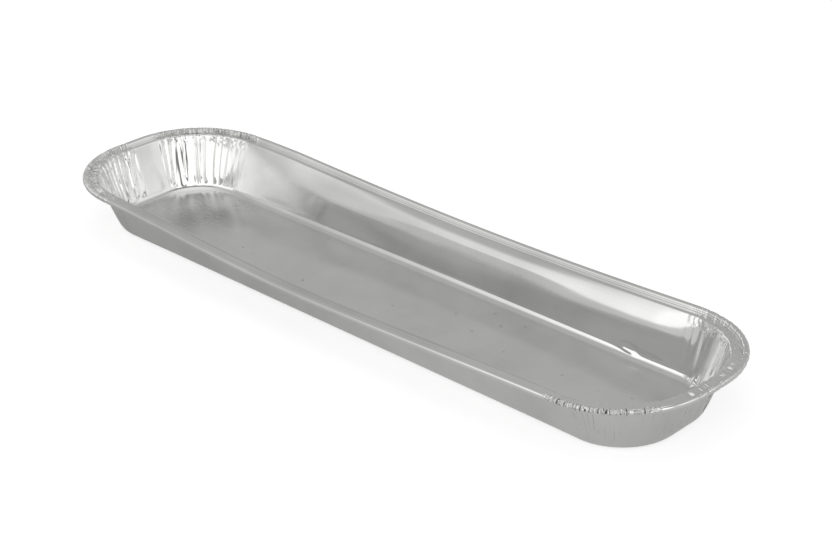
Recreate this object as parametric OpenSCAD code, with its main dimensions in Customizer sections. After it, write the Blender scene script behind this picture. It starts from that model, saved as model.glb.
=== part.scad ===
// Long foil baking tray, pressed from one sheet of thin aluminium foil.
// The sheet is followed as one profile, from the floor up the wall to the rolled rim,
// and that profile runs round a rounded plan with pleats gathered in its four corners.
// Halfway along each long side the rim sags and bows outwards, and the wall flares under it.
// The origin is under the middle of the floor, on the table. X runs along the tray and Z is up.

/* [Tray] */
// Length over the rolled rim
tray_l = 290; // [220:1:420]
// Width over the rolled rim, halfway along the tray
tray_w = 81; // [75:0.5:150]
// Height from the table to the top of the rim at the corners
tray_h = 21.5; // [16:0.5:45]
// Radius of the rim's corners, seen from above
corner_r = 34; // [24:0.5:36]
// Thickness of the foil
foil_t = 0.1; // [0.06:0.01:0.2]

/* [Wall] */
// How far the wall leans outwards between the table and the flange
wall_flare = 7.3; // [5:0.1:12]
// Radius of the bend between the floor and the wall
floor_bend_r = 3.2; // [1.5:0.1:6]
// Width of the flared ledge under the flange, halfway along a long side
ledge_w = 2.6; // [1.5:0.1:4]
// Height of the ledge
ledge_drop = 2.2; // [1.5:0.1:3.5]
// Radius of the bend between the wall and the ledge
ledge_bend_r = 6; // [2:0.5:7]

/* [Rim] */
// Width of the flange between the wall and the bead
flange_w = 3.5; // [1.5:0.1:6]
// How far the flange falls towards the bead
flange_fall = 0.7; // [0:0.1:1.2]
// Outside radius of the rolled bead
bead_r = 1.15; // [0.8:0.05:1.6]
// How far the bead's centre stands above the outer edge of the flange
bead_lift = 0.5; // [0.2:0.05:1]
// Angle through which the foil is rolled to make the bead
bead_turn = 270; // [180:5:300]
// How far the rim sags halfway along each long side
rim_sag = 3; // [0:0.25:5]
// How far the rim bows outwards halfway along each long side
rim_bow = 1.2; // [0:0.1:3]

/* [Pleats] */
// Number of pleats gathered in each corner
pleats = 18; // [6:1:18]
// Depth of the pleats from crest to valley at the top of the wall
pleat_depth = 0.8; // [0:0.05:1]
// Depth of the crimps that the pressed flange and bead keep from the pleats
crimp_depth = 0.2; // [0:0.05:0.4]
// How much shallower than the deepest the weakest pleat is
pleat_uneven = 0.5; // [0:0.1:0.9]

/* [Hidden] */

// Steps in the bends, in the rolled bead and along the straight sides
floor_bend_steps = 3;
ledge_bend_steps = 2;
bead_steps = 9;
side_steps = 10;

// Angle between one pleat's share of the irregular series and the next
uneven_step = 137.5;

// Radius of the foil's middle in the bead, and the height of the bead's centre
roll_r = bead_r - foil_t / 2;
bead_z = tray_h - bead_r;

// Corners of the profile as [distance in from the rim's outline, height], at the foil's middle
valley = [bead_r + roll_r, bead_z - bead_lift];
shoulder = [2 * bead_r + flange_w, valley[1] + flange_fall];
ledge = shoulder + [ledge_w, -ledge_drop];
foot = [shoulder[0] + wall_flare, foil_t / 2];
floor_inside = foot + [corner_r, 0];

// Half the straight length of a side and of an end
side_half = tray_l / 2 - corner_r;
end_half = tray_w / 2 - rim_bow - corner_r;

// A vector of length one, the one a right angle clockwise from it, and a point part way along a line
function unit(v) = v / norm(v);
function right_of(v) = [v[1], -v[0]];
function between(a, b, share) = a + (b - a) * share;

// Arc of radius r that rounds the corner at b on the way from a to c
function bend(a, b, c, r, steps) =
    let (
        to_a = unit(a - b),
        to_c = unit(c - b),
        half = acos(to_a * to_c) / 2,
        centre = b + unit(to_a + to_c) * r / sin(half),
        start = b + to_a * r / tan(half) - centre,
        finish = b + to_c * r / tan(half) - centre,
        sweep = 180 - 2 * half
    )
    [for (i = [0 : steps])
        centre + (start * sin(sweep * (1 - i / steps)) + finish * sin(sweep * i / steps)) / sin(sweep)];

// Roll of the bead: over the top, down the outside and back in underneath the flange
function bead_roll() =
    [for (i = [0 : bead_steps])
        let (a = bead_turn * i / bead_steps)
        [bead_r + roll_r * cos(a), bead_z + roll_r * sin(a)]];

// Point on the straight line from the foot to the flange at a height
function on_straight_wall(z) = between(foot, shoulder, (z - foot[1]) / (shoulder[1] - foot[1]));

// The profile at the corners, where the wall runs straight up to the flange,
// and halfway along a long side, where its top flares out in the ledge
ledge_bend = bend(foot, ledge, shoulder, ledge_bend_r, ledge_bend_steps);
rim_profile = concat([shoulder, valley], bead_roll());
corner_profile = concat(
    bend(floor_inside, foot, shoulder, floor_bend_r, floor_bend_steps),
    [for (p = ledge_bend) on_straight_wall(p[1])],
    rim_profile
);
side_profile = concat(
    bend(floor_inside, foot, ledge, floor_bend_r, floor_bend_steps),
    ledge_bend,
    rim_profile
);
stations = len(side_profile);
first_rim_station = stations - len(rim_profile);

// Direction of a profile before and after station i
function way_in(profile, i) = i == 0 ? [-1, 0] : unit(profile[i] - profile[i - 1]);
function way_out(profile, i) =
    i == stations - 1 ? way_in(profile, i) : unit(profile[i + 1] - profile[i]);

// Way from the foil's middle to its inner face, long enough to keep the thickness in a crease
function across(profile, i) =
    let (n = unit(right_of(way_in(profile, i)) + right_of(way_out(profile, i))))
    n / (n * right_of(way_out(profile, i)));

// How far a point has climbed from the floor, as a share of the wall's height
function climb(z) = min(1, max(0, z - foil_t / 2) / shoulder[1]);

// Shift of the foil in a pleat: it grows up the wall from nothing at the floor.
// The pressed rim keeps only crimps, which go in from its outline.
function pleat_shift(i, z, swing) =
    i < first_rim_station
        ? pleat_depth / 2 * pow(climb(z), 0.8) * swing
        : crimp_depth * min(0, swing);

// Swing of column j of a corner from one pleat's crest to the next one's valley
function pleat_swing(j) =
    j == 0 || j == 2 * pleats
        ? 0
        : (j % 2 == 0 ? -1 : 1) * (1 - pleat_uneven * abs(sin(uneven_step * j)));

// A column is [point on the rim's outline, way in, swing of the pleat]
function corner_columns(sx, sy, from) =
    [for (j = [0 : 2 * pleats])
        let (
            a = from + 90 * j / (2 * pleats),
            out = [cos(a), sin(a)]
        )
        [[sx * side_half, sy * end_half] + corner_r * out, -out, pleat_swing(j)]];

// Columns of a long side, between the end of one corner and the start of the next
function side_columns(a, b) =
    [for (j = [1 : side_steps - 1])
        [between(a[0], b[0], j / side_steps), a[1], 0]];

corner_a = corner_columns(1, 1, 0);
corner_b = corner_columns(-1, 1, 90);
corner_c = corner_columns(-1, -1, 180);
corner_d = corner_columns(1, -1, 270);
last = 2 * pleats;
columns = concat(
    corner_a,
    side_columns(corner_a[last], corner_b[0]),
    corner_b,
    corner_c,
    side_columns(corner_c[last], corner_d[0]),
    corner_d
);

// How much a long side gives way at a place along the tray: 1 halfway along, 0 at the corners
function give(x) = pow(max(0, 1 - pow(x / side_half, 2)), 1.5);

// Point on the inner face (side 1) or the outer face (side -1) of the foil.
// Where a side gives way, its rim sags and bows outwards, and the floor's edge stays straight.
function foil_point(column, profile, i, side) =
    let (
        z = profile[i][1],
        p = profile[i] + across(profile, i) * (pleat_shift(i, z, column[2]) + side * foil_t / 2),
        share = give(column[0][0]) * climb(z),
        xy = column[0] + column[1] * (p[0] - rim_bow * share)
    )
    [xy[0], xy[1], p[1] - rim_sag * share];

// One column of points: up the inner face to the rolled edge, and back down the outer face
function column_points(column) =
    let (profile = between(corner_profile, side_profile, give(column[0][0])))
    concat(
        [for (i = [0 : stations - 1]) foil_point(column, profile, i, 1)],
        [for (i = [stations - 1 : -1 : 0]) foil_point(column, profile, i, -1)]
    );

// The whole sheet: strips of triangles between neighbouring columns, and the two flat faces
// of the floor, whose rungs run between each column and the one across the tray from it.
// A strip's inner and outer faces are split along the same diagonal, so that the foil
// keeps its thickness where it twists.
module pressed_foil() {
    ring = 2 * stations;
    count = len(columns);
    points = [for (c = columns) each column_points(c)];
    strips = [for (c = [0 : count - 1], r = [0 : ring - 2])
        let (
            near = c * ring + r,
            far = (c + 1) % count * ring + r
        )
        each r < stations
            ? [[near, far + 1, near + 1], [near, far, far + 1]]
            : [[near, far, near + 1], [far, far + 1, near + 1]]];
    floor_faces = [for (c = [0 : count / 2 - 2])
        let (
            near = c * ring,
            next = near + ring,
            far = (count - 1 - c) * ring,
            far_next = far - ring,
            under = ring - 1
        )
        each [
            [near, far_next, next],
            [near, far, far_next],
            [near + under, next + under, far_next + under],
            [near + under, far_next + under, far + under]
        ]];
    polyhedron(points, concat(strips, floor_faces));
}

module foil_tray() {
    color("silver")
        pressed_foil();
}

foil_tray();
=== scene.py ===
import math

import bpy
import numpy as np
from mathutils import Matrix


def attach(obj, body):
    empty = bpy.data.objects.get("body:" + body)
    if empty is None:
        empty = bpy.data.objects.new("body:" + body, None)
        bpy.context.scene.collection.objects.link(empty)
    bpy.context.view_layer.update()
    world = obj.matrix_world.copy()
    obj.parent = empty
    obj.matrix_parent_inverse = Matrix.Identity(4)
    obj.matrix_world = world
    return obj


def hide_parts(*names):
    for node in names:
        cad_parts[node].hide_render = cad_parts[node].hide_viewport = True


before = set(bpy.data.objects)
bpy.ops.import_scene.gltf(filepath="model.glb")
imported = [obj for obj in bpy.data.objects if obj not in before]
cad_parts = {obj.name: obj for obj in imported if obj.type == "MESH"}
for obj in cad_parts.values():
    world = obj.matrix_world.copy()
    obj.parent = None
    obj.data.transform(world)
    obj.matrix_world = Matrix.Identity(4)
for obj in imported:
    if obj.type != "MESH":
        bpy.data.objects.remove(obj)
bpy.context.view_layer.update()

MM = 0.001

# The pressed tray's sizes in millimetres, as the solid has them
LENGTH, WIDTH, HEIGHT = 290.0, 81.0, 21.5
CORNER_R = 34.0
FOIL = 0.1
WALL_FLARE = 7.3
FLOOR_BEND_R = 3.2
LEDGE_W = 2.6
LEDGE_DROP = 2.2
LEDGE_BEND_R = 6.0
FLANGE_W = 3.5
FLANGE_FALL = 0.7
BEAD_R = 1.15
BEAD_LIFT = 0.5
BEAD_TURN = 270.0
RIM_BOW = 1.2

# The soft flare between the ledge and the straight wall: the height where it starts, the wall's
# lean there and under the flange in degrees, and how far below the flange the wall's point is
# that the shoulder's bend comes from
FLARE_FROM_Z = 5.5
FLARE_START_LEAN = 14.4
FLARE_END_LEAN = 37.0
FLARE_TOP = 1.0

# Small bends that the solid leaves sharp
SHOULDER_BEND_R = 0.5
VALLEY_BEND_R = 0.3
SMALL_BEND_STEPS = 2

SIDE_HALF = LENGTH / 2 - CORNER_R
END_HALF = WIDTH / 2 - RIM_BOW - CORNER_R
CORNER_ARC = CORNER_R * math.pi / 2
ARC = END_HALF + CORNER_ARC
HALF_ROUND = 2 * ARC + 2 * SIDE_HALF

ROLL_R = BEAD_R - FOIL / 2
BEAD_Z = HEIGHT - BEAD_R
VALLEY = np.array([BEAD_R + ROLL_R, BEAD_Z - BEAD_LIFT])
SHOULDER = np.array([2 * BEAD_R + FLANGE_W, VALLEY[1] + FLANGE_FALL])
LEDGE = SHOULDER + np.array([LEDGE_W, -LEDGE_DROP])
FOOT = np.array([SHOULDER[0] + WALL_FLARE, FOIL / 2])

# Distances in from the rim's outline over which the creases of one zone give way to the next
BEAD_ENDS = (2.5, 3.2)
FLANGE_ENDS = (5.0, 6.0)
WALL_STARTS = (5.0, 6.2)
CRIMPS_LEAVE_BEAD = (2.8, 3.6)
CRIMPS_LEAVE_FLANGE = (5.2, 6.0)

# Steps of the columns round the rim: along an end, a corner and a side, and
# beside a corner, where a side has shorter ones for a way
END_STEP = 0.3
CORNER_STEP = 0.27
SIDE_STEP = 2.2
NEAR_CORNER = 8.0
NEAR_CORNER_STEPS = 16

# The floor keeps one column in so many, and has rings at these shares of the way out
FLOOR_THINNING = 4
FLOOR_RINGS = [0.94, 0.84, 0.72, 0.58, 0.43, 0.28, 0.13]


# Profile

def unit(v):
    return v / np.linalg.norm(v)


def smooth(low, high, x):
    """Soft step from 0 at low to 1 at high."""
    t = np.clip((x - low) / (high - low), 0, 1)
    return t * t * (3 - 2 * t)


def bend(a, b, c, radius, steps):
    """Arc of a given radius that rounds the corner at b on the way from a to c."""
    to_a, to_c = unit(a - b), unit(c - b)
    half = math.acos(float(to_a @ to_c)) / 2
    centre = b + unit(to_a + to_c) * radius / math.sin(half)
    start = b + to_a * radius / math.tan(half) - centre
    finish = b + to_c * radius / math.tan(half) - centre
    sweep = math.pi - 2 * half
    points = []
    for i in range(steps + 1):
        share = i / steps
        spoke = start * math.sin(sweep * (1 - share)) + finish * math.sin(sweep * share)
        points.append(centre + spoke / math.sin(sweep))
    return points


def between(a, b, shares):
    """Points part of the way along the line from a to b."""
    return [a + (b - a) * s for s in shares]


def roll(steps):
    """The bead: over the top, down the outside and back in underneath the flange."""
    angles = np.radians(np.linspace(0, BEAD_TURN, steps + 1))
    return [np.array([BEAD_R + ROLL_R * math.cos(a), BEAD_Z + ROLL_R * math.sin(a)]) for a in angles]


def on_soft_flare(z):
    """Point at a height z on a wall that leans out more and more towards the flange."""
    low, high = math.tan(math.radians(FLARE_START_LEAN)), math.tan(math.radians(FLARE_END_LEAN))
    start = np.array([FOOT[0] - low * FLARE_FROM_Z, FLARE_FROM_Z])
    rise = (start[0] - SHOULDER[0] - low * (SHOULDER[1] - start[1])) / (high - low)
    turn = np.array([SHOULDER[0] + high * rise, SHOULDER[1] - rise])
    t = np.linspace(0, 1, 60)[:, None]
    curve = start * (1 - t) ** 2 + 2 * turn * t * (1 - t) + SHOULDER * t ** 2
    if z < FLARE_FROM_Z:
        return np.array([FOOT[0] - low * (z - FOOT[1]), z])
    return np.array([np.interp(z, curve[:, 1], curve[:, 0]), z])


def on_straight_wall(z):
    """Point at a height z on the straight line from the foot to the flange."""
    return SHOULDER + (FOOT - SHOULDER) * (SHOULDER[1] - z) / (SHOULDER[1] - FOOT[1])


# Each kind of wall: the point that the floor's bend rises towards, the point that
# the shoulder's bend comes from, and the place of a point of the ledge's wall on it
WALLS = (
    (LEDGE, LEDGE, lambda p: p),
    (on_soft_flare(FLARE_FROM_Z), on_soft_flare(SHOULDER[1] - FLARE_TOP), lambda p: on_soft_flare(p[1])),
    (SHOULDER, FOOT, lambda p: on_straight_wall(p[1])),
)


def profiles(bend_steps, wall_rows, ledge_rows, roll_steps):
    """The foil's middle from the floor to the end of the bead, as (way in from the rim, height).
    The first has the ledge, the second a soft flare and the third a straight wall."""
    inside = FOOT + np.array([20.0, 0.0])
    above_valley = VALLEY + np.array([0.0, 1.0])
    ledge_bend = bend(FOOT, LEDGE, SHOULDER, LEDGE_BEND_R, bend_steps)
    kinds = []
    for below, above, on_wall in WALLS:
        floor_bend = bend(inside, FOOT, below, FLOOR_BEND_R, bend_steps)
        wall = [on_wall(p) for p in between(floor_bend[-1], ledge_bend[0], wall_rows) + ledge_bend]
        shoulder = bend(above, SHOULDER, VALLEY, SHOULDER_BEND_R, SMALL_BEND_STEPS)
        valley = bend(SHOULDER, VALLEY, above_valley, VALLEY_BEND_R, SMALL_BEND_STEPS)
        rows = floor_bend + wall + between(wall[-1], shoulder[0], ledge_rows) + shoulder
        rows += between(shoulder[-1], valley[0], ledge_rows) + valley + roll(roll_steps)
        kinds.append(rows)
    return np.array(kinds)


INNER_ROWS = profiles(7, [k / 15 for k in range(1, 15)], [0.33, 0.67], 14)
OUTER_ROWS = profiles(4, [0.25, 0.5, 0.75], [0.5], 5)


def normals(rows):
    """Way from the foil's middle to its inner face at each row of a profile."""
    steps = np.diff(rows, axis=0)
    steps /= np.linalg.norm(steps, axis=1)[:, None]
    mean = np.vstack([[-1.0, 0.0], steps]) + np.vstack([steps, steps[-1]])
    mean /= np.linalg.norm(mean, axis=1)[:, None]
    return np.stack([mean[:, 1], -mean[:, 0]], axis=1)


# Columns

def run(start, length, count):
    """Places evenly along a length, from its start, without its end."""
    return start + np.arange(count) / count * length


def half_round_places():
    """Lengths along half of the rim, from the middle of the +X end to the middle of the -X end.
    The side has a few more where the floor's thinning needs them."""
    end, corner = round(END_HALF / END_STEP), round(CORNER_ARC / CORNER_STEP)
    long_side = 2 * SIDE_HALF - 2 * NEAR_CORNER
    side = round(long_side / SIDE_STEP)
    side += (1 - (2 * end + 2 * corner + 2 * NEAR_CORNER_STEPS + side + 1)) % FLOOR_THINNING
    return np.concatenate([
        (np.arange(end) + 0.5) / end * END_HALF,
        run(END_HALF, CORNER_ARC, corner),
        run(ARC, NEAR_CORNER, NEAR_CORNER_STEPS),
        run(ARC + NEAR_CORNER, long_side, side),
        run(HALF_ROUND - ARC - NEAR_CORNER, NEAR_CORNER, NEAR_CORNER_STEPS),
        run(HALF_ROUND - ARC, CORNER_ARC, corner),
        [HALF_ROUND - END_HALF],
        HALF_ROUND - END_HALF + (np.arange(end) + 0.5) / end * END_HALF,
    ])


def rim_at(t):
    """Points on the rim's outline and ways in, at lengths t along the half with y above 0."""
    first = np.clip((t - END_HALF) / CORNER_R, 0, math.pi / 2)
    second = np.clip((t - HALF_ROUND + ARC) / CORNER_R, 0, math.pi / 2)
    out = np.stack([np.cos(first + second), np.sin(first + second)], axis=1)
    x = SIDE_HALF - np.clip(t - ARC, 0, 2 * SIDE_HALF)
    y = np.minimum(np.minimum(t, HALF_ROUND - t), END_HALF)
    return np.stack([x, y], axis=1) + CORNER_R * out, -out


half_places = half_round_places()
half_points, half_ways = rim_at(half_places)
mirror = np.array([1.0, -1.0])
rim = np.vstack([half_points, half_points[::-1] * mirror])
way_in = np.vstack([half_ways, half_ways[::-1] * mirror])
along = np.concatenate([half_places, 2 * HALF_ROUND - half_places[::-1]])
HALF_COLUMNS = len(half_places)
COLUMNS = 2 * HALF_COLUMNS

# Lengths along the rim from the middle of each end. They grow towards the far side (+Y) from
# the +X end and towards the near side (-Y) from the -X end.
from_right = np.where(along > HALF_ROUND, along - 2 * HALF_ROUND, along)
from_left = along - HALF_ROUND
on_right = rim[:, 0] > 0
on_left = rim[:, 0] < 0


# Creases. The first number of each call for creases, pinches, rumples and crinkles is its
# random seed. Places and heights are in millimetres.

class Creases:
    """Folds across the foil: crests and valleys at irregular places along the rim.

    A short step leads from a crest to the next valley, and a long one from a valley to the
    next crest. Slant and scatter say how far the folds run aside on the way down the wall, bow
    how far they bulge aside halfway, and reach how high up the wall they begin, as a share."""

    def __init__(self, seed, start, stop, long_step, short_step, height, slant=0.0, scatter=0.0,
                 reach=None, bow=0.0):
        rng = np.random.default_rng(seed)
        places, heights, at, crest = [], [], start, 1.0
        while at < stop:
            places.append(at)
            heights.append(crest * height * rng.uniform(0.3, 1.0))
            at += rng.uniform(*(short_step if crest > 0 else long_step))
            crest = -crest
        heights[0] = heights[-1] = 0.0
        count = len(places)
        self.places = np.array(places)
        self.heights = np.array(heights)
        self.slants = slant + scatter * rng.normal(size=count)
        self.ends = rng.uniform(*reach, size=count) if reach else np.full(count, -1.0)
        self.bows = bow * rng.normal(size=count)

    def at(self, u, climb):
        """Height of the folds at lengths u along the rim, at a share of the wall's height."""
        places = self.places + self.slants * (1 - climb) + self.bows * math.sin(math.pi * climb)
        places = np.maximum.accumulate(places)
        here = self.heights * smooth(-0.12, 0.12, climb - self.ends)
        return np.interp(u, places, here, left=0.0, right=0.0)


wall_creases = [
    # Far corner of the -X end: broad leaning facets, then deep upright folds
    (from_left, Creases(11, -20.0, -10.0, (2.6, 4.6), (0.9, 1.6), 0.75, 2.5, 1.0, None, 0.6)),
    (from_left, Creases(20, -27.5, -19.0, (2.4, 3.2), (1.2, 2.0), 0.32, 1.6, 0.5, None, 0.8)),
    (from_left, Creases(12, -ARC - 1, -26.5, (1.6, 4.8), (0.5, 1.3), 0.62, 0.2, 0.7, None, 0.5)),
    (from_left, Creases(19, -35.0, -28.0, (0.6, 1.4), (0.3, 0.7), 0.24, 0.0, 0.4, None, 0.2)),
    # Near corner of the -X end: close folds that lean
    (from_left, Creases(13, 0.5, ARC + 1, (1.6, 3.8), (0.5, 1.0), 0.55, 2.4, 0.9, (-0.2, 0.4), 0.6)),
    (from_left, Creases(14, 0.5, ARC + 1, (0.7, 1.6), (0.3, 0.8), 0.07, 1.6, 0.8, (0.0, 0.7), 0.3)),
    # Far corner of the +X end: a few broad soft facets
    (from_right, Creases(15, 4.0, ARC + 2.0, (5.0, 9.0), (1.2, 2.4), 0.60, 0.0, 2.0, None, 1.0)),
    # Near corner and middle of the +X end: shallow folds
    (from_right, Creases(17, -ARC - 1, -23.0, (1.0, 3.0), (0.5, 1.0), 0.30, 0.1, 0.5)),
    (from_right, Creases(18, -12.0, 5.0, (1.6, 3.6), (0.5, 1.0), 0.22, 0.2, 0.4)),
]
flange_creases = [
    (from_left, Creases(21, -ARC - 2, -12.0, (0.6, 1.5), (0.35, 0.7), 1.35)),
    (from_left, Creases(22, 0.5, ARC + 2, (0.6, 1.4), (0.35, 0.7), 1.35)),
]
bead_creases = [
    (from_left, Creases(31, -ARC - 4, -12.0, (0.6, 1.6), (0.35, 0.6), 1.4)),
    (from_left, Creases(32, 0.0, ARC + 2, (0.6, 1.6), (0.35, 0.6), 1.4)),
    (from_right, Creases(34, -ARC - 6, -23.0, (0.8, 2.0), (0.5, 0.9), 2.0)),
]


def folded(creases, climb=1.0):
    """Height of several runs of folds together, at a share of the wall's height."""
    return sum(c.at(u, climb) for u, c in creases)


def ridge(place, width):
    """Narrow ridge, 1 high, across the foil at a length along the rim from the middle of the
    +X end."""
    return np.exp(-np.abs((from_right - place) / width) ** 1.5)


def pinches(seed, start, stop, gap, width):
    """Narrow creases across the rim round the +X end, with smooth foil between them."""
    rng = np.random.default_rng(seed)
    height, at = np.zeros(COLUMNS), start
    while at < stop:
        height += rng.choice((-1.0, 1.0)) * rng.uniform(0.4, 1.0) * ridge(at, width)
        at += rng.uniform(*gap)
    return height


flange_pinches = pinches(25, -11.0, ARC + 1, (0.9, 4.6), 0.45)
bead_pinches = pinches(35, -9.0, ARC + 2, (0.9, 5.0), 0.45)


def rumple(seed, v, cell_u, cell_v):
    """Smooth random field round the rim at a distance v along the profile, between -1 and 1."""
    rng = np.random.default_rng(seed)
    count, lines = round(2 * HALF_ROUND / cell_u), 64
    grid = rng.uniform(-1, 1, size=(lines, count))
    x = along / (2 * HALF_ROUND) * count
    x0 = np.floor(x).astype(int)
    fx = smooth(0, 1, x - x0)
    y0 = int(v / cell_v)
    fy = smooth(0, 1, v / cell_v - y0)
    row = grid[y0 % lines] * (1 - fy) + grid[(y0 + 1) % lines] * fy
    return row[x0 % count] * (1 - fx) + row[(x0 + 1) % count] * fx


def crinkle(seed, v, cell_u, cell_v):
    """Sharp creases that wander and meet, as in crumpled foil: 1 on a crease and less beside it."""
    return 1 - 2.4 * np.abs(rumple(seed, v, cell_u, cell_v))


def dented(h):
    """Where the foot of the wall is dented: on the far side towards +X, and in the corner by it."""
    side = np.exp(-((rim[:, 0] - 90.0) / 3.2) ** 2) * (rim[:, 1] > 0)
    side = side * math.exp(-((h - 0.13) / 0.09) ** 2)
    corner = np.exp(-((from_right - 46.5) / 4.0) ** 2) * math.exp(-((h - 0.05) / 0.10) ** 2)
    off_floor = smooth(0, 0.05, h)
    return off_floor * side, off_floor * corner


def slits(h):
    """Three narrow upright creases round the near corner of the +X end."""
    depth = 0
    for place, low, high in ((-48.0, 0.35, 0.85), (-26.5, 0.20, 1.00), (-12.0, 0.75, 1.00)):
        reach = smooth(low - 0.08, low, h) * (1 - smooth(high, high + 0.08, h))
        depth = depth + reach * ridge(place + 1.5 * (1 - h), 0.45)
    return depth


def gathered():
    """How much of the foil's spare length each column takes up: 1 in the pleated corners."""
    near_left = smooth(0.0, 2.5, from_left) * (1 - smooth(ARC - 1, ARC + 5, from_left))
    far_left = smooth(-ARC - 5, -ARC + 1, from_left) * (1 - smooth(-13.5, -11.0, from_left))
    right = smooth(-ARC - 5, -ARC + 1, from_right) * (1 - smooth(ARC - 1, ARC + 5, from_right))
    right *= 1 - smooth(-25.0, -23.0, from_right) * (1 - smooth(-12.5, -10.5, from_right))
    return np.where(np.abs(from_left) < np.abs(from_right), near_left + far_left, right)


gather = gathered()

# How strong the small crinkles are at each column. The wall's are weakest from the middle of the
# +X end round its far corner. The rim's are strongest round the -X end, and the near corner of
# the +X end has none. That corner's wall has crinkles that show on its outside, and the rim is
# crumpled from the middle of the +X end round the far corner.
wall_fine = np.where(on_left, 0.4, np.where(from_right > -8, 0.1, 0.5))
rim_fine = np.where(on_left, 1.0, np.where(from_right > -14, 0.25, 0.0))
outside = smooth(-ARC - 4, -ARC + 2, from_right) * (1 - smooth(0.0, 6.0, from_right)) * on_right
crumpled = smooth(-14.0, -8.0, from_right) * (1 - smooth(ARC - 8, ARC, from_right)) * on_right


def wall_relief(h, v):
    """How far in the wall's creases and dents push it, at a share h of its height and a
    distance v along the profile."""
    grown = smooth(0.06, 0.26, h) * (1 - 0.45 * smooth(0.86, 1.0, h))
    small = 0.13 * crinkle(45, v, 4.5, 16.0) + wall_fine * 0.05 * crinkle(46, v, 1.8, 6.0)
    relief = gather * grown * (0.5 + 0.5 * h) * folded(wall_creases, h)
    relief += gather * grown * small
    relief += outside * smooth(0.05, 0.2, h) * 0.24 * crinkle(49, v, 1.5, 5.0)
    relief += gather * 0.07 * smooth(0.75, 0.97, h) * rumple(41, v, 0.7, 1.0)
    relief += 0.02 * smooth(0, 0.3, h) * rumple(42, v, 18.0, 6.0)
    relief += 0.45 * slits(h)
    side, corner = dented(h)
    relief += side * 0.5 * crinkle(47, v, 3.0, 2.5) + corner * 0.5 * crinkle(48, v, 1.8, 1.5)
    return relief


def flange_relief(v):
    """How far up the flange's creases push it."""
    relief = gather * (0.21 * folded(flange_creases) + rim_fine * 0.13 * crinkle(43, v, 1.1, 1.2))
    relief += crumpled * 0.20 * crinkle(50, v, 6.0, 5.0) + gather * 0.30 * flange_pinches
    return relief


def bead_relief(v):
    """How far out the bead's creases push it, which is much less than they push it in."""
    relief = gather * (0.20 * folded(bead_creases) + rim_fine * 0.08 * crinkle(44, v, 0.9, 0.9))
    relief += crumpled * 0.08 * crinkle(51, v, 4.0, 2.5) - gather * 0.30 * np.abs(bead_pinches)
    return np.where(relief > 0, 0.3 * relief, relief)


def sag(x, y):
    """How far the rim hangs below its height at the corners. The near side is bent down more."""
    far = 2.9 * np.clip(1 - ((x - 12) / 98) ** 2, 0, 1) ** 1.2 - 0.3 * np.exp(-((x + 102) / 14) ** 2)
    rise, fall = (x + 112) * 0.0367, (120 - x) * 0.0268
    tent = -0.6 * np.logaddexp(-rise / 0.6, -fall / 0.6)
    near = 0.25 * np.logaddexp(0, tent / 0.25)
    share = smooth(-20.0, 20.0, y)
    return near * (1 - share) + far * share - 0.5 * smooth(112, 145, np.abs(x))


# How far the rim bows outwards at each column, nothing at the corners
bow = RIM_BOW * np.clip(1 - (rim[:, 0] / SIDE_HALF) ** 2, 0, 1) ** 1.5


def wall_kinds():
    """Shares of the ledge, the soft flare and the straight wall at each column."""
    x = rim[:, 0]
    ledge = smooth(-75.0, 0.0, x) * (1 - smooth(25.0, 100.0, x))
    flare = (1 - ledge) * smooth(-SIDE_HALF, -80.0, x) * (1 - smooth(96.0, 120.0, x))
    return np.stack([ledge, flare, 1 - ledge - flare])


kinds = wall_kinds()


def crimped_rows(rows):
    """How strong the finest crimps are at each row and column: nothing off the flange and bead."""
    d, z = rows[:, 0][:, None], rows[:, 1][:, None]
    on_bead = (1 - smooth(*CRIMPS_LEAVE_BEAD, d)) * smooth(BEAD_Z - 0.9, BEAD_Z + 0.1, z)
    on_rim = 1 - smooth(*CRIMPS_LEAVE_FLANGE, d)
    patches = 0.15 + 0.85 * smooth(-0.35, 0.2, rumple(52, 0.0, 8.0, 1.0))
    patches = np.where(from_left < 0, 1.0, patches)
    left = np.where(on_left, gather * patches, 0)
    near_right = np.where(on_right & (from_right < -14), gather, 0)
    far_right = np.where(on_right & (from_right >= -14), gather, 0)
    return on_rim * left + on_bead * near_right + on_rim * 0.12 * far_right


def foil_rows(rows_of_kinds, face):
    """Points of the foil's inner face (1) or outer face (-1), as rows x columns x 3 in millimetres."""
    rows = rows_of_kinds[0]
    place = np.einsum("kc,krp->rcp", kinds, rows_of_kinds)
    across = np.einsum("kc,krp->rcp", kinds, np.array([normals(kind) for kind in rows_of_kinds]))
    across /= np.linalg.norm(across, axis=2)[:, :, None]
    climb = np.clip(rows[:, 1] / SHOULDER[1], 0, 1)
    length = np.concatenate([[0], np.cumsum(np.linalg.norm(np.diff(rows, axis=0), axis=1))])
    out = np.zeros((len(rows), COLUMNS, 3))
    for r in range(len(rows)):
        h, v, d = climb[r], length[r], rows[r, 0]
        on_wall, on_bead = smooth(*WALL_STARTS, d), 1 - smooth(*BEAD_ENDS, d)
        on_flange = (1 - smooth(*FLANGE_ENDS, d)) * (1 - on_bead)
        shift = on_wall * wall_relief(h, v) + on_flange * flange_relief(v) + on_bead * bead_relief(v)
        shift = shift + face * FOIL / 2
        xy = rim + way_in * (place[r, :, 0] + across[r, :, 0] * shift - bow * h)[:, None]
        out[r, :, :2] = xy
        out[r, :, 2] = place[r, :, 1] + across[r, :, 1] * shift - sag(xy[:, 0], xy[:, 1]) * h
    return out


# The sheet

def floor_swell(x, y, share):
    """Slight rise of the pressed floor, nothing at its edge where the share is 1."""
    waves = 0.10 + 0.06 * np.sin(x * 0.05 + 1.0) + 0.04 * np.sin(y * 0.12 + x * 0.021)
    return (1 - share ** 3) * waves


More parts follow.
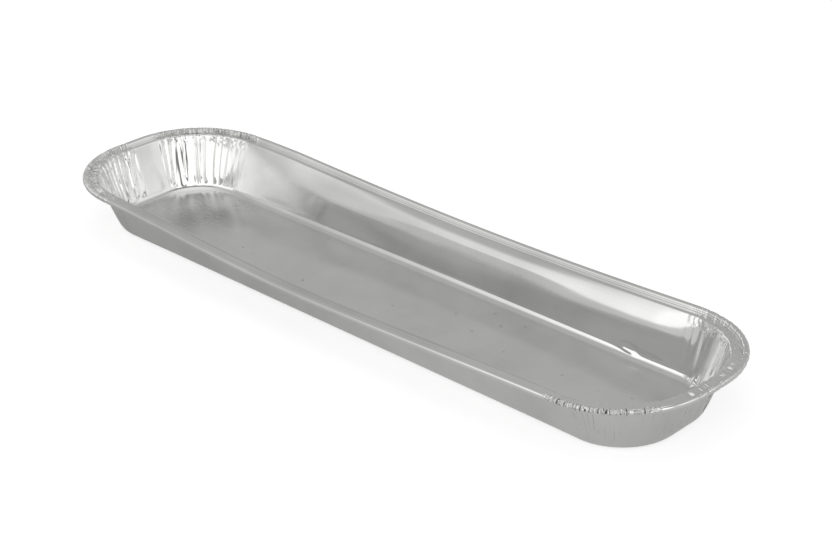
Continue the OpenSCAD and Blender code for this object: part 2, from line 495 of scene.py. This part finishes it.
class Sheet:
    """Points and faces of the foil, as they are added."""

    def __init__(self):
        self.points, self.faces, self.count = [], [], 0

    def add(self, points):
        """The numbers of the points added, in the shape of the grid that they come in."""
        start = self.count
        self.points.append(points.reshape(-1, 3))
        self.count += len(self.points[-1])
        return start + np.arange(self.count - start).reshape(points.shape[:-1])

    def quads(self, index, flip=False):
        """Quads between the rows of a grid of points whose columns run round the tray."""
        turned = np.roll(index, -1, axis=1)
        cells = np.stack([index[:-1], index[1:], turned[1:], turned[:-1]], axis=-1).reshape(-1, 4)
        self.faces += (cells[:, ::-1] if flip else cells).tolist()

    def floor(self, edge, edge_points, top):
        """One face of the floor: rings with fewer columns than its edge, closed on its middle line."""
        half = list(range(0, HALF_COLUMNS, FLOOR_THINNING))
        kept = half + [COLUMNS - 1 - k for k in reversed(half)]
        border = edge_points[kept]
        spine_x = np.clip(border[:, 0], -SIDE_HALF, SIDE_HALF)
        spine = np.stack([spine_x, 0 * border[:, 1], border[:, 2]], axis=1)
        rings = []
        for share in FLOOR_RINGS:
            ring = spine + (border - spine) * share
            ring[:, 2] += floor_swell(ring[:, 0], ring[:, 1], share)
            rings.append(ring)
        index = self.add(np.array(rings))
        self.quads(index, flip=top)
        cells = self.fans(edge, index[0], kept) + self.closing(spine, index[-1])
        self.faces += [[int(v) for v in (cell if top else cell[::-1])] for cell in cells]

    def fans(self, edge, ring, kept):
        """Triangles from the columns kept in a ring to all those of the floor's edge."""
        cells = []
        for i, k in enumerate(kept):
            j = (i + 1) % len(kept)
            gap = (kept[j] - k) % COLUMNS
            arc = [edge[(k + g) % COLUMNS] for g in range(gap + 1)]
            middle = gap // 2
            cells += [[ring[i], arc[g], arc[g + 1]] for g in range(middle)]
            cells += [[ring[j], arc[g], arc[g + 1]] for g in range(middle, gap)]
            cells.append([ring[i], arc[middle], ring[j]])
        return cells

    def closing(self, spine, ring):
        """Faces from the innermost ring to the floor's middle line, whose points are added."""
        keys = [round(float(p[0]), 4) for p in spine]
        line = {}
        for key, p in zip(keys, spine):
            if key not in line:
                middle = p.copy()
                middle[2] += floor_swell(p[0], 0.0, 0.0)
                line[key] = int(self.add(middle[None])[0])
        cells = []
        for i in range(len(spine)):
            j = (i + 1) % len(spine)
            a, b = line[keys[i]], line[keys[j]]
            cells.append([ring[i], ring[j]] + ([b] if a == b else [b, a]))
        return cells


def pressed_foil():
    sheet = Sheet()
    rings = np.concatenate([foil_rows(INNER_ROWS, 1), foil_rows(OUTER_ROWS, -1)[::-1]])
    index = sheet.add(rings)
    sheet.quads(index)
    sheet.floor(index[0], rings[0], True)
    sheet.floor(index[-1], rings[-1], False)
    mesh = bpy.data.meshes.new("pressed_foil")
    mesh.from_pydata((np.concatenate(sheet.points) * MM).tolist(), [], sheet.faces)
    mesh.validate()
    mesh.shade_smooth()
    # The material reads from these where the finest crimps are, for their bumps and the painted shade in the
    # deepest of them, and how far round the rim
    crimps = np.concatenate([crimped_rows(INNER_ROWS[0]), crimped_rows(OUTER_ROWS[0])[::-1]]).ravel()
    places = np.tile(along, len(INNER_ROWS[0]) + len(OUTER_ROWS[0]))
    for name, values in (("crimp", crimps), ("along", places)):
        values = np.concatenate([values, np.zeros(sheet.count - len(values))])
        mesh.attributes.new(name, "FLOAT", "POINT").data.foreach_set("value", values)
    piece = bpy.data.objects.new("pressed_foil", mesh)
    bpy.context.collection.objects.link(piece)
    return piece


# Materials

FOIL_DARK = (0.76, 0.76, 0.75, 1)
FOIL_LIGHT = (0.86, 0.86, 0.85, 1)
SPECK_COLOUR = (0.30, 0.30, 0.29, 1)
# Painted shade for the deepest crimps of the rim
CRIMP_SHADE_COLOUR = (0.16, 0.16, 0.155, 1)
TABLE_COLOUR = (0.58, 0.58, 0.58, 1)
WHITE = (1, 1, 1, 1)


class Nodes:
    """Short ways of adding and joining nodes in one material or world."""

    def __init__(self, owner):
        owner.use_nodes = True
        self.tree = owner.node_tree
        self.tree.nodes.clear()

    def add(self, kind, inputs=(), **settings):
        node = self.tree.nodes.new(kind)
        for name, value in settings.items():
            setattr(node, name, value)
        for key, value in dict(inputs).items():
            if isinstance(value, bpy.types.NodeSocket):
                self.tree.links.new(value, node.inputs[key])
            else:
                node.inputs[key].default_value = value
        return node

    def noise(self, place, scale, stretch=(1, 1, 1), detail=3.0):
        moved = self.add("ShaderNodeMapping", {"Vector": place, "Scale": stretch})
        inputs = {"Vector": moved.outputs[0], "Scale": scale, "Detail": detail, "Roughness": 0.55}
        return self.add("ShaderNodeTexNoise", inputs).outputs["Fac"]

    def ranged(self, value, from_low, from_high, to_low, to_high, kind="LINEAR"):
        """A value mapped from one range to another and held at its ends."""
        inputs = {"Value": value, "From Min": from_low, "From Max": from_high,
                  "To Min": to_low, "To Max": to_high}
        return self.add("ShaderNodeMapRange", inputs, interpolation_type=kind).outputs[0]

    def soft(self, value, from_low, from_high, to_low, to_high):
        """The same, with soft ends."""
        return self.ranged(value, from_low, from_high, to_low, to_high, "SMOOTHSTEP")

    def maths(self, operation, a, b=0.0):
        return self.add("ShaderNodeMath", {0: a, 1: b}, operation=operation).outputs[0]

    def product(self, first, *others):
        for other in others:
            first = self.maths("MULTIPLY", first, other)
        return first

    def largest(self, first, *others):
        for other in others:
            first = self.maths("MAXIMUM", first, other)
        return first

    def blend(self, a, share_a, b, share_b):
        """Sum of a share of each of two values."""
        return self.maths("ADD", self.product(a, share_a), self.product(b, share_b))

    def painted(self, share, under, over):
        """A colour with another one over it, by a share from 0 to 1."""
        return self.add("ShaderNodeMix", {0: share, 6: under, 7: over}, data_type="RGBA").outputs[2]

    def bump(self, height, strength, distance, under=None):
        inputs = {"Height": height, "Strength": strength, "Distance": distance}
        if under is not None:
            inputs["Normal"] = under
        return self.add("ShaderNodeBump", inputs).outputs[0]

    def dot(self, a, b):
        return self.add("ShaderNodeVectorMath", {0: a, 1: b}, operation="DOT_PRODUCT").outputs["Value"]


def foil_roughness(n, place, cloud, lines):
    """Satin. The pressed floor is more matt than the wall, most of all at the -X end, and so
    are the smooth places beside the pleats there."""
    x, y, z = place
    satin = n.ranged(n.blend(cloud, 0.5, lines, 0.5), 0.3, 0.7, 0.06, 0.10)
    floor = n.product(n.soft(z, 0.0006, 0.0016, 1.0, 0.0), n.soft(x, -0.11, -0.05, 0.20, 0.06))
    side = n.product(n.ranged(x, -0.120, -0.108, 0.0, 1.0), n.soft(x, -0.088, -0.062, 0.14, 0.0))
    aside = n.maths("ABSOLUTE", n.maths("SUBTRACT", y, 0.005))
    end = n.product(n.ranged(aside, 0.006, 0.008, 1.0, 0.0), n.ranged(x, -0.124, -0.120, 0.12, 0.0))
    return n.maths("ADD", satin, n.largest(floor, side, end))


def foil_material():
    material = bpy.data.materials.new("aluminium_foil")
    n = Nodes(material)
    place = n.add("ShaderNodeTexCoord").outputs["Object"]
    x, y, z = n.add("ShaderNodeSeparateXYZ", {0: place}).outputs
    # Rolling lines along the tray, faint mottling, and grain
    lines = n.noise(place, 1.0, (6, 1600, 1600), 2.0)
    cloud = n.noise(place, 38.0)
    speck = n.noise(place, 900.0, detail=2.0)
    tint = n.add("ShaderNodeValToRGB", {"Fac": n.blend(cloud, 0.85, lines, 0.15)})
    low, high = tint.color_ramp.elements
    low.position, low.color = 0.3, FOIL_DARK
    high.position, high.color = 0.7, FOIL_LIGHT
    # A few dark specks on the floor
    spots = n.ranged(n.noise(place, 330.0, detail=1.0), 0.755, 0.785, 0.0, 0.6)
    spots = n.product(spots, n.ranged(z, 0.0006, 0.0010, 1.0, 0.0))
    colour = n.painted(spots, tint.outputs[0], SPECK_COLOUR)
    # The finest crimps of the rim run straight across it, broken up by dots
    crimp = n.add("ShaderNodeAttribute", attribute_name="crimp").outputs["Fac"]
    along_rim = n.add("ShaderNodeAttribute", attribute_name="along").outputs["Fac"]
    ticks = n.add("ShaderNodeTexNoise", {"W": along_rim, "Scale": 1.6, "Detail": 1.0}, noise_dimensions="1D")
    dots = n.noise(place, 1300.0, detail=1.0)
    ticks = n.maths("ADD", ticks.outputs["Fac"], n.product(dots, 0.6))
    # and the deepest of them get painted shade in their colour, stronger towards +X
    crimp_shade = n.product(crimp, n.soft(ticks, 0.74, 0.64, 0.0, 1.0), n.ranged(x, -0.02, 0.02, 0.25, 0.85))
    colour = n.painted(crimp_shade, colour, CRIMP_SHADE_COLOUR)
    relief = n.bump(lines, 0.06, 0.00002)
    relief = n.bump(speck, 0.02, 0.00003, relief)
    relief = n.bump(ticks, crimp, 0.0014, relief)
    foil = n.add("ShaderNodeBsdfPrincipled", {"Base Color": colour, "Metallic": 1.0, "Normal": relief,
                                              "Roughness": foil_roughness(n, (x, y, z), cloud, lines)})
    n.add("ShaderNodeOutputMaterial", {"Surface": foil.outputs[0]})
    return material


def table_material():
    """Pale and plain. It glows for the camera, and a little for what the foil mirrors of it."""
    material = bpy.data.materials.new("pale_table")
    n = Nodes(material)
    path = n.add("ShaderNodeLightPath")
    base = n.add("ShaderNodeBsdfDiffuse", {"Color": TABLE_COLOUR})
    seen = n.product(path.outputs["Is Camera Ray"], 0.66)
    # Mirrored in the foil the table is dimmer towards -X
    position = n.add("ShaderNodeNewGeometry").outputs["Position"]
    x = n.add("ShaderNodeSeparateXYZ", {0: position}).outputs["X"]
    mirrored = n.largest(path.outputs["Is Glossy Ray"], path.outputs["Is Transmission Ray"])
    mirrored = n.product(mirrored, n.ranged(x, -0.20, 0.05, 0.01, 0.16))
    glow = n.add("ShaderNodeEmission", {"Strength": n.maths("ADD", seen, mirrored)})
    both = n.add("ShaderNodeAddShader", {0: base.outputs[0], 1: glow.outputs[0]})
    n.add("ShaderNodeOutputMaterial", {"Surface": both.outputs[0]})
    return material


# Studio. The room depends on the direction alone. Right, front and up are its parts along +X,
# -Y and +Z, ahead is its part towards the second screen's middle, and turn is the angle round
# from there.

DEGREE = math.pi / 180
SECOND_SCREEN_FACING = math.radians(-35)
ROOM_STRENGTH = 0.47
DARK_STRENGTH = 0.2


def front_screen(n, right, front, up):
    """It lies along X, has a crisp lower edge, and fades upwards and to the left."""
    tilt = n.maths("ARCTAN2", up, front)
    fading = n.maths("POWER", n.ranged(right, -0.72, -0.54, 0.0, 1.0), 2.0)
    strength = n.ranged(fading, 0.0, 1.0, 0.08, 0.80)
    lower_edge = n.ranged(tilt, 8.8 * DEGREE, 10.2 * DEGREE, 0.0, 1.0)
    # Its upper edge comes lower down towards the right
    high = n.maths("ADD", tilt, n.ranged(right, -0.60, -0.53, 0.0, 11 * DEGREE))
    upper_edge = n.product(n.soft(high, 46 * DEGREE, 77 * DEGREE, 1.0, 0.03),
                           n.soft(tilt, 100 * DEGREE, 118 * DEGREE, 1.0, 0.0))
    return n.product(strength, lower_edge, upper_edge)


def second_screen(n, up, turn):
    """It stands on the right. All but its part towards the back is crossed by dark upright bars."""
    across = n.product(n.soft(turn, -65 * DEGREE, -25 * DEGREE, 0.0, 0.55),
                       n.soft(turn, 55 * DEGREE, 125 * DEGREE, 1.0, 0.0))
    upright = n.product(n.soft(up, 0.10, 0.18, 0.0, 1.0), n.soft(up, 0.66, 0.78, 1.0, 0.0))
    bars = n.soft(n.maths("SINE", n.product(turn, 14.0)), -0.4, 0.2, 0.05, 1.75)
    far_part = n.ranged(turn, 35 * DEGREE, 50 * DEGREE, 0.0, 1.0)
    bars = n.add("ShaderNodeMix", {0: far_part, 2: bars, 3: 1.0}).outputs[0]
    return n.product(across, upright, bars)


def lamps(n, right, front, up):
    """Smaller lamps overhead and on the left, and a faint light over the front, least at its left."""
    overhead = n.soft(up, 0.88, 0.93, 0.0, 0.5)
    left = n.soft(right, -0.96, -0.84, 0.5, 0.0)
    low = n.product(n.ranged(right, -0.60, -0.50, 0.09, 0.22), n.ranged(front, 0.3, 0.6, 0.0, 1.0))
    return n.largest(overhead, left, low)


def dark_parts(n, right, front, up, turn, ahead):
    """The camera's stand, the dark of the room above it, and a dark part at the back on the left."""
    stand = n.maths("ABSOLUTE", n.maths("SUBTRACT", turn, 19 * DEGREE))
    stand = n.product(n.soft(stand, 3.0 * DEGREE, 6.0 * DEGREE, 1.0, 0.0),
                      n.ranged(up, 0.50, 0.60, 1.0, 0.0))
    above = n.product(n.ranged(up, 0.72, 0.78, 0.0, 0.9), n.ranged(up, 0.86, 0.90, 1.0, 0.0))
    by_camera = n.product(n.largest(stand, above), n.ranged(ahead, 0.1, 0.3, 0.0, 1.0))
    back = n.product(n.soft(up, 0.47, 0.53, 0.0, 0.24), n.ranged(front, -0.35, -0.15, 1.0, 0.0),
                     n.ranged(up, 0.59, 0.65, 1.0, 0.0), n.ranged(right, -0.60, -0.55, 1.0, 0.0))
    return n.largest(by_camera, back)


def studio_world():
    """A grey room with two bright screens, which the camera sees as plain white."""
    world = bpy.data.worlds.new("studio")
    bpy.context.scene.world = world
    n = Nodes(world)
    direction = n.add("ShaderNodeTexCoord").outputs["Generated"]
    right, front, up = (n.dot(direction, axis) for axis in ((1, 0, 0), (0, -1, 0), (0, 0, 1)))
    cosine, sine = math.cos(SECOND_SCREEN_FACING), math.sin(SECOND_SCREEN_FACING)
    ahead = n.dot(direction, (cosine, sine, 0))
    turn = n.maths("ARCTAN2", n.dot(direction, (-sine, cosine, 0)), ahead)
    bright = n.largest(front_screen(n, right, front, up), second_screen(n, up, turn),
                       lamps(n, right, front, up))
    dimmed = n.ranged(dark_parts(n, right, front, up, turn, ahead), 0.0, 1.0, 1.0, DARK_STRENGTH)
    strength = n.product(n.maths("ADD", bright, ROOM_STRENGTH), dimmed)
    room = n.add("ShaderNodeBackground", {"Color": WHITE, "Strength": strength})
    white = n.add("ShaderNodeBackground", {"Color": WHITE, "Strength": 1.0})
    by_camera = n.add("ShaderNodeLightPath").outputs["Is Camera Ray"]
    seen = n.add("ShaderNodeMixShader", {0: by_camera, 1: room.outputs[0], 2: white.outputs[0]})
    n.add("ShaderNodeOutputWorld", {"Surface": seen.outputs[0]})


def table():
    """A table top, just clear of the tray's floor."""
    size, z = 3.0, -0.0002
    mesh = bpy.data.meshes.new("table")
    mesh.from_pydata([(-size, -size, z), (size, -size, z), (size, size, z), (-size, size, z)],
                     [], [(0, 1, 2, 3)])
    mesh.materials.append(table_material())
    top = bpy.data.objects.new("table", mesh)
    bpy.context.collection.objects.link(top)


def camera():
    """The view that was fitted to the tray's outlines: the camera's own axes and its place."""
    right = (0.71848, 0.6952, -0.02207)
    up = (-0.30129, 0.33967, 0.89098)
    back = (0.62691, -0.6335, 0.4535)
    place = (0.43495, -0.42353, 0.31836)
    lens = bpy.data.cameras.new("camera")
    lens.lens = 82.795
    lens.sensor_width = 36.0
    lens.clip_start, lens.clip_end = 0.01, 20.0
    eye = bpy.data.objects.new("camera", lens)
    bpy.context.collection.objects.link(eye)
    rows = [[right[i], up[i], back[i], place[i]] for i in range(3)]
    eye.matrix_world = Matrix(rows + [[0, 0, 0, 1]])
    bpy.context.scene.camera = eye


camera()
studio_world()
table()
tray = pressed_foil()
tray.data.materials.append(foil_material())
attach(tray, "root")
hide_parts("foil_tray")

bpy.context.scene.view_settings.view_transform = "Standard"
